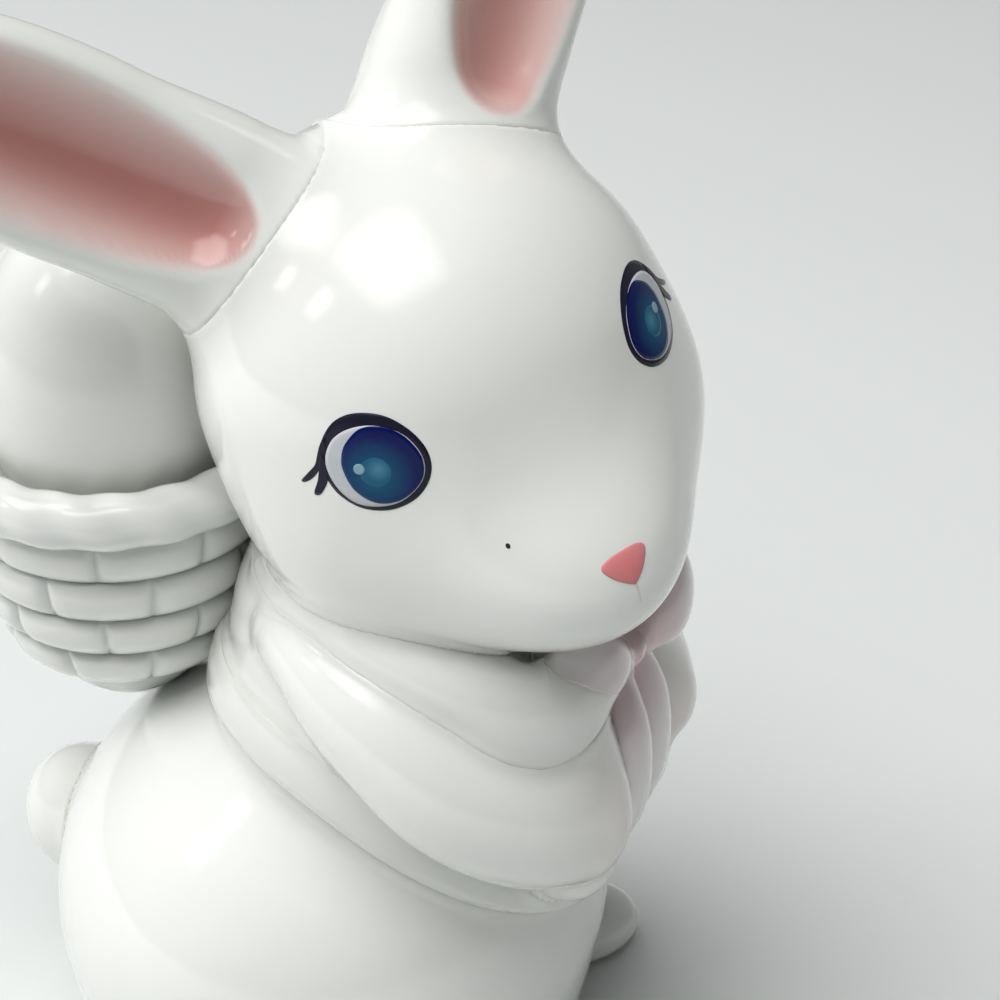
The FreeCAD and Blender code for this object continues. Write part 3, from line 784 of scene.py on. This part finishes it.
def film(name, outline, face, lift, material, rings=12, crown=0.0):
    """A film inside a closed outline, given in mm aside and up from a place on the face. Its
    points shrink to the outline's middle in even rings, are laid on the head's skin along the
    outward direction, and stand off it by the lift plus crown times the square root of 1 less
    the ring's share squared. The rim turns down into the glaze."""
    place, aside, up, out = face
    outline = np.asarray(outline, float)
    centre = outline.mean(0)
    share = np.append(1.0, 1 - np.arange(rings) / rings)[:, None]
    height = lift + crown * np.sqrt(1 - share ** 2)
    height[0] = -rim_sink
    flat = centre + (outline - centre) * share[..., None]
    cast = place + flat[..., :1] * aside + flat[..., 1:] * up
    rows = skin(face_clay, cast - out * 14, out, 24) + height[..., None] * out
    middle = place + centre[0] * aside + centre[1] * up
    middle = skin(face_clay, middle - out * 14, out, 24)
    piece = closed_mesh(name, from_head(rows), from_head(middle - out * 0.5),
                        from_head(middle + out * height[-1]))
    piece.data.materials.append(material)
    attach(piece, "root")
    return piece


def smooth_outline(points, count=96):
    """A closed curve through the points, with a span cubic between each two."""
    points = np.asarray(points, float)
    place = np.arange(count) / count * len(points)
    i = place.astype(int)
    t = (place - i)[:, None]
    return span_cubic(*(points[(i + k) % len(points)] for k in (-1, 0, 1, 2)), t)


def fired_colour(name, near, far, centre, reach, roughness=0.12):
    """A transfer's colour: it runs from near to far with the distance from a point, over the
    reach, and is broken up a little by fine noise, as the printed dots are."""
    material, nodes, link = new_material(name)
    shader = nodes["Principled BSDF"]
    place, away = nodes.new("ShaderNodeTexCoord"), nodes.new("ShaderNodeVectorMath")
    away.operation = "DISTANCE"
    away.inputs[1].default_value = Vector(centre) / 1000
    link(place.outputs["Object"], away.inputs[0])
    dots = nodes.new("ShaderNodeTexNoise")
    set_values(dots, Scale=900)
    link(place.outputs["Object"], dots.inputs["Vector"])
    share = nodes.new("ShaderNodeMapRange")
    set_values(share, From_Max=reach / 1000)
    link(away.outputs["Value"], share.inputs["Value"])
    broken = reckoned(nodes, link, "MULTIPLY_ADD", dots.outputs["Fac"], dot_strength,
                      share.outputs["Result"], clamp=True)
    link(mixed_colours(nodes, link, broken, near, far), shader.inputs["Base Color"])
    set_values(shader, Roughness=roughness, Specular_IOR_Level=0.2)
    return material


lid_outline = [(6.9, 3.5), (4.7, 6.0), (1.6, 6.9), (-2.2, 6.1), (-5.2, 3.6), (-6.7, 0.5),
               (-6.4, -2.6), (-4.2, -5.3), (-0.6, -6.6), (3.1, -6.1), (5.8, -4.2), (7.2, -1.8),
               (7.6, 1.0)]
white_outline = [(6.9, 0.7), (5.4, 3.6), (2.6, 5.0), (-0.9, 5.0), (-4.2, 3.3), (-5.9, 0.1),
                 (-5.3, -3.0), (-2.4, -5.4), (0.8, -6.0), (4.0, -5.2), (6.2, -2.7)]
iris_outline = [(1.2, 4.9), (3.5, 3.2), (4.5, 1.4), (4.7, -0.6), (3.7, -3.5), (1.1, -5.5),
                (-2.3, -5.3), (-5.2, -3.0), (-5.8, 0.1), (-4.2, 3.2), (-1.6, 4.8)]
upper_lash = [(6.2, 4.2), (7.3, 2.9), (8.3, 0.7), (9.8, -0.9), (11.0, -1.7), (10.7, -2.05),
              (9.5, -1.6), (8.4, -0.7), (7.2, 0.6), (6.4, 2.0)]
lower_lash = [(7.2, 2.0), (7.9, 0.3), (8.6, -1.7), (9.6, -3.6), (8.8, -3.8), (7.8, -2.8),
              (7.1, -1.6), (6.8, 0.4)]


def spot(x, y, radius, count=32):
    """A round outline: the middle plus the radius times cosine and sine."""
    turn = np.arange(count) / count * 2 * math.pi
    return np.stack([x + radius * np.cos(turn), y + radius * np.sin(turn)], -1)


eye_turn, eye_lift = math.radians(39), math.radians(18)
eye_places = {"right": (1.4, -0.8), "left": (3.2, -2.2)}
for side, sign in (("right", -1), ("left", 1)):
    out = np.array([sign * math.sin(eye_turn) * math.cos(eye_lift),
                    -math.cos(eye_turn) * math.cos(eye_lift), math.sin(eye_lift)])
    aside = np.array([sign * math.cos(eye_turn), math.sin(eye_turn), 0])
    up = np.array([0, 0, 1]) - out * out[2]
    up /= np.linalg.norm(up)
    shift = eye_places[side]
    place = skin(face_clay, np.zeros(3), out, 60) + aside * shift[0] + up * shift[1]
    face = place, aside, up, out
    glow = from_head(place + aside * 0.6 - up * 1.6)
    lid_black = fired_colour(side + " eye lid transfer", (0.004, 0.004, 0.012),
                             (0.016, 0.016, 0.034), glow, 12)
    film(side + "_eye_lid_line", smooth_outline(lid_outline), face, 0.05, lid_black)
    film(side + "_eye_upper_lash", smooth_outline(upper_lash, 64), face, 0.06, lid_black, 5)
    film(side + "_eye_lower_lash", smooth_outline(lower_lash, 64), face, 0.07, lid_black, 5)
    lilac = fired_colour(side + " eye white transfer", (0.46, 0.56, 0.60), (0.52, 0.52, 0.55),
                         from_head(place + aside * 2.0), 5.5)
    film(side + "_eye_white", smooth_outline(white_outline), face, 0.08, lilac)
    iris_blue = fired_colour(side + " iris transfer", (0.002, 0.11, 0.20), (0.001, 0.006, 0.085),
                             glow, 5.6)
    film(side + "_eye_iris", smooth_outline(iris_outline), face, 0.11, iris_blue)
    glow_blue = fired_colour(side + " iris glow", (0.07, 0.23, 0.35), (0.006, 0.10, 0.19),
                             from_head(place - up * 0.8), 1.9)
    film(side + "_eye_glow", smooth_outline(spot(0.4, -1.2, 2.1, 8)), face, 0.13, glow_blue)
    light_blue = fired_colour(side + " eye light", (0.26, 0.40, 0.47), (0.20, 0.34, 0.42), glow, 5)
    film(side + "_eye_light", spot(2.5, -0.5, 0.75), face, 0.15, light_blue, 4)

# Nose: a low rounded triangle at the muzzle's end, brushed coral by hand, with the lip's faint
# line under it.
nose_out = np.array([0.0, -1, 0])
nose_place = skin(face_clay, np.array([1.0, 0, -10.6]), nose_out, 60)
nose_face = nose_place, np.array([1.0, 0, 0]), np.array([0.0, 0, 1]), nose_out
coral = fired_colour("coral nose paint", (0.70, 0.20, 0.20), (0.62, 0.24, 0.25),
                     from_head(nose_place), 5, 0.2)
nose_outline = [(-3.4, 1.2), (-1.8, 2.0), (1.8, 1.9), (3.4, 1.0), (2.4, -0.6), (0.4, -2.2),
                (-0.4, -2.2), (-2.4, -0.5)]
nose = film("nose_painted", smooth_outline(nose_outline), nose_face, 0.06, coral, 16, 0.3)
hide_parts("nose")
pink_line = fired_colour("lip line", (0.70, 0.62, 0.60), (0.74, 0.70, 0.68),
                         from_head(nose_place), 9, 0.2)
lip_outline = [(-0.15, -2.1), (0.2, -2.1), (0.25, -3.6), (0.1, -5.2), (-0.1, -5.2), (-0.1, -3.6)]
film("lip_line", smooth_outline(lip_outline, 48), nose_face, 0.02, pink_line, 4)

# Kiln speck: one fleck of iron in the clay, which burned through the glaze low on the right
# cheek.
speck_black = fired_colour("iron speck", (0.02, 0.018, 0.015), (0.05, 0.04, 0.03), (0, 0, 0), 400)
speck_out = np.array([-0.30, -0.95, -0.08])
speck_out /= np.linalg.norm(speck_out)
speck_aside = np.cross(speck_out, [0, 0, 1.0])
speck_aside /= np.linalg.norm(speck_aside)
speck_up = np.cross(speck_aside, speck_out)
speck_face = np.array([-10.87, -34.04, -4.11]), speck_aside, speck_up, speck_out
film("glaze_speck", spot(0, 0, 0.3, 16), speck_face, 0.03, speck_black, 3)

# ---------------- tail and feet
# The tail is a ball of clay pressed on low at the back, the feet two flat pebbles under the
# belly, all wiped flat where they stand.
near = filled(tail_fill, body_clay)
drawn = ball_rows(glazed_into(ball_tail_clay, *near), ball_tail_middle, (0, 0, 1), 100, 130, 26)
glaze_over("ball_tail", drawn, ball_tail_clay, near, porcelain, "white_glaze", "tail")
near = filled(foot_fill, body_clay)
foot_rows, foot_start, foot_end = ball_rows(glazed_into(foot_clay["right"], *near), foot_middle,
                                            foot_ahead, 56, 80, 30)
for side, flip in mirror.items():
    rows = foot_rows * flip
    rows[..., 2] = np.maximum(rows[..., 2], 0.0)
    glaze_over(side + "_foot_pebble", (rows, foot_start * flip, foot_end * flip), foot_clay[side],
               near, porcelain, "white_glaze", side + "_foot")

# ---------------- basket and egg
# The basket is cast with its weave in relief: courses of short fat strands laid like bricks,
# closed by a braided rim, and luted to the back. The egg is a smooth casting set in the rim.
basket_axis, rim_height, rim_radius, braid_radius = 54.0, 105.0, 24.0, 4.2
bowl_radius, bowl_depth = 22.6, 44.0
strand_relief, strand_count, course_pitch = 2.1, 9, 7.5
strand_turns, braid_lumps, braid_pooling = 9, 0.07, 0.35
# The basket's darker grey is glaze pooled in the grooves of weave and braid, and painted shade on
# its bare wall.
basket_glaze = glazed("basket porcelain, glaze in the weave", white, (0.50, 0.53, 0.51), 0.7)
turn = np.linspace(0, 2 * math.pi, int(360 * grain), endpoint=False)[:, None]


def turned(radius, height):
    """Points round the basket's axis at a radius and a height."""
    radius, height = np.broadcast_arrays(radius, height)
    angle = np.broadcast_to(turn, radius.shape)
    return np.stack([radius * np.cos(angle), basket_axis + radius * np.sin(angle), height], -1)


def bowl_at(height):
    """The bowl's radius at a height: a quarter ellipse's, widest at the rim."""
    return bowl_radius * np.sqrt(np.maximum(0, 1 - ((rim_height - height) / bowl_depth) ** 2))


drop = np.linspace(0.02, 1, int(60 * grain)) ** 0.7
outer = rim_height - bowl_depth * np.cos(drop * math.pi / 2)
profile_radius = np.concatenate([bowl_at(outer) - 0.4, [20.0, 10.0]])[None]
profile_height = np.concatenate([outer, [rim_height - 0.2, rim_height - 4.0]])[None]
rows = turned(np.repeat(profile_radius, len(turn), 0), np.repeat(profile_height, len(turn), 0))
# The whole wall takes the basket's grey at 0.8: painted shade on the bare underside below the
# weave and inside the rim.
bowl_piece = closed_mesh("basket_wall", rows.transpose(1, 0, 2),
                         [0, basket_axis, rim_height - bowl_depth + 0.3],
                         [0, basket_axis, rim_height - 6.0],
                         [("pooled", lambda points: np.full(points.shape[:-1], 0.8))])
finish_piece(bowl_piece, basket_glaze, "basket_glaze", "basket_bowl")


def weave_relief(angle, height, number, level):
    """A course's relief, from 0 to 1: (1 - |v|^2.2)^0.7 across the course times
    1 - 0.65 |s|^8 along each strand, where v and s run from -1 to 1."""
    v = np.clip((height - level) / (course_pitch / 2), -1, 1)
    s = (angle / (2 * math.pi) * strand_count - (number % 2) / 2) % 1 * 2 - 1
    return ((1 - np.abs(v) ** 2.2) ** 0.7) * (1 - 0.65 * np.abs(s) ** 8)


for number in range(4):
    level = rim_height - braid_radius - course_pitch * (number + 0.45)
    across = np.linspace(-1, 1, int(26 * grain))[None]
    height = level + across * course_pitch / 2 + 0 * turn
    relief = weave_relief(turn, height, number, level)
    front = bowl_at(height) + 0.2 + strand_relief * relief
    behind = bowl_at(height[:, ::-1]) - 1.2
    rows = turned(np.hstack([front, behind]), np.hstack([height, height[:, ::-1]]))
    depth = np.hstack([1 - relief, np.ones_like(relief)]).reshape(-1) ** 1.5
    piece = closed_mesh("basket_course_weave_%d" % (number + 1), rows,
                        marks=[("pooled", lambda points: depth)])
    finish_piece(piece, basket_glaze, "basket_glaze", "basket_course_%d" % (number + 1))

around_braid = np.linspace(0, 2 * math.pi, int(72 * grain), endpoint=False)[None]
lump = 0.5 + 0.5 * np.cos(2 * (strand_turns * turn + around_braid))
radius = braid_radius * (1 - braid_lumps + braid_lumps * lump)
rows = turned(rim_radius + radius * np.cos(around_braid),
              rim_height + radius * np.sin(around_braid))
depth = braid_pooling * (1 - lump).reshape(-1)
braid_piece = closed_mesh("basket_rim_braid", rows, marks=[("pooled", lambda points: depth)])
finish_piece(braid_piece, basket_glaze, "basket_glaze", "basket_braid")

egg_middle = (0, basket_axis, 116.0)
egg_upper, egg_lower = swelling(egg_middle, (20, 20, 27)), swelling(egg_middle, (20, 20, 24))


def egg_clay(points):
    """The egg: one ellipsoid above its widest level and a shorter one below."""
    return np.where(points[..., 2] > egg_middle[2], egg_upper(points), egg_lower(points))


rows, start, end = ball_rows(egg_clay, egg_middle, (0, 0, 1), 150, 180, 40)
# Below the braid's top the egg turns to the glaze's grey: painted shade where it sinks into the
# basket.
egg_piece = closed_mesh("porcelain_egg", rows, start, end,
                        [("pooled", lambda points: np.clip((109 - points[..., 2]) / 4, 0, 1))])
finish_piece(egg_piece, porcelain, "white_glaze", "egg")

# ---------------- studio
# A seamless pale sweep under soft boxes, and the camera at the photograph's angle.
sweep_depth, sweep_rise, sweep_half, bend_radius = 1.6, 2.7, 3.0, 0.6


def sweep():
    """Floor and backdrop as one sheet: flat, then a quarter round, then upright."""
    bend = np.linspace(0, math.pi / 2, 24)
    back = np.concatenate([[-sweep_half], sweep_depth + bend_radius * np.sin(bend),
                           [sweep_depth + bend_radius]])
    rise = np.concatenate([[0.0], bend_radius - bend_radius * np.cos(bend), [sweep_rise]])
    wide = np.array([-sweep_half, sweep_half])
    points = np.stack([np.repeat(back, 2), np.tile(wide, len(back)), np.repeat(rise, 2)], -1)
    i = np.arange(len(back) - 1)[:, None] * 2
    mesh = bpy.data.meshes.new("paper_sweep")
    mesh.from_pydata(points.tolist(), [], (i + [0, 2, 3, 1]).tolist())
    mesh.polygons.foreach_set("use_smooth", np.ones(len(mesh.polygons), bool))
    return in_scene(bpy.data.objects.new("paper_sweep", mesh))


paper, nodes, _ = new_material("pale paper")
set_values(nodes["Principled BSDF"], Base_Color=(0.70, 0.72, 0.71, 1), Roughness=0.85,
           Specular_IOR_Level=0.2)
floor = sweep()
floor.data.materials.append(paper)

azimuth, elevation, distance = math.radians(-70), math.radians(31), 0.335
roll, aim_aside, aim_height = math.radians(0.5), 0.007, 0.106
back = Vector((math.sin(azimuth) * math.cos(elevation), -math.cos(azimuth) * math.cos(elevation),
               math.sin(elevation)))
right = Vector((math.cos(azimuth), math.sin(azimuth), 0))
up = back.cross(right)
aim = right * aim_aside + Vector((0, 0, aim_height))
right, up = (right * math.cos(roll) + up * math.sin(roll),
             up * math.cos(roll) - right * math.sin(roll))
camera = in_scene(bpy.data.objects.new("camera", bpy.data.cameras.new("camera")))
camera_turn = Matrix((right, up, back)).transposed().to_4x4()
camera.matrix_world = Matrix.Translation(aim + back * distance) @ camera_turn
camera.data.sensor_width = 36
camera.data.lens = 84.6
camera.data.clip_start = 0.01
bpy.context.scene.camera = camera


def hung(thing, place, towards=(0, 0, 0.1)):
    """Hangs a lamp or a sheet at a place, facing the figure."""
    thing.location = place
    thing.rotation_euler = (Vector(towards) - Vector(place)).to_track_quat("-Z", "Y").to_euler()
    in_scene(thing)


def lamp(name, place, size, power):
    """A square lamp behind its diffuser; the diffusers below are what the glaze mirrors, so the
    lamp itself is kept out of reflections."""
    light = bpy.data.objects.new(name, bpy.data.lights.new(name, "AREA"))
    light.data.shape = "RECTANGLE"
    light.data.size, light.data.size_y = size
    light.data.energy = power
    light.visible_glossy = False
    hung(light, place)


def diffuser(name, place, size, strength, edge):
    """A glowing sheet that only the glaze mirrors; its light fades to nothing over its edge:
    strength times the smooth step of the distance from the rim, on each of its two axes."""
    wide, tall = size[0] / 2, size[1] / 2
    mesh = bpy.data.meshes.new(name)
    mesh.from_pydata([(-wide, -tall, 0), (wide, -tall, 0), (wide, tall, 0), (-wide, tall, 0)], [],
                     [(0, 3, 2, 1)])
    sheet = bpy.data.objects.new(name, mesh)
    sheet.visible_shadow = sheet.visible_diffuse = False
    material, nodes, link = new_material(name)
    nodes.clear()
    place_on, axes = nodes.new("ShaderNodeTexCoord"), nodes.new("ShaderNodeSeparateXYZ")
    link(place_on.outputs["Object"], axes.inputs[0])
    fades = []
    for axis, half in (("X", wide), ("Y", tall)):
        fade = nodes.new("ShaderNodeMapRange")
        fade.interpolation_type = "SMOOTHSTEP"
        set_values(fade, From_Min=half, From_Max=half * (1 - edge))
        link(reckoned(nodes, link, "ABSOLUTE", axes.outputs[axis]), fade.inputs["Value"])
        fades.append(fade.outputs["Result"])
    both = reckoned(nodes, link, "MULTIPLY", *fades)
    glow, end = nodes.new("ShaderNodeEmission"), nodes.new("ShaderNodeOutputMaterial")
    link(reckoned(nodes, link, "MULTIPLY", both, strength), glow.inputs["Strength"])
    link(glow.outputs[0], end.inputs["Surface"])
    mesh.materials.append(material)
    hung(sheet, place)


lamp("overhead lamp", (-0.42, 0.18, 1.45), (1.1, 1.1), 24)
lamp("window lamp", (-0.4, 1.7, 0.8), (1.2, 1.0), 17)
diffuser("overhead diffuser", (-0.3, 0.3, 1.3), (1.4, 1.0), 2.6, 0.6)
diffuser("window", (-0.75, 1.0, 1.1), (0.35, 0.5), 2.6, 0.6)
world = bpy.data.worlds.new("studio")
world.use_nodes = True
set_values(world.node_tree.nodes["Background"], Color=(0.95, 0.97, 0.95, 1), Strength=0.12)
bpy.context.scene.world = world
bpy.context.scene.view_settings.view_transform = "Standard"
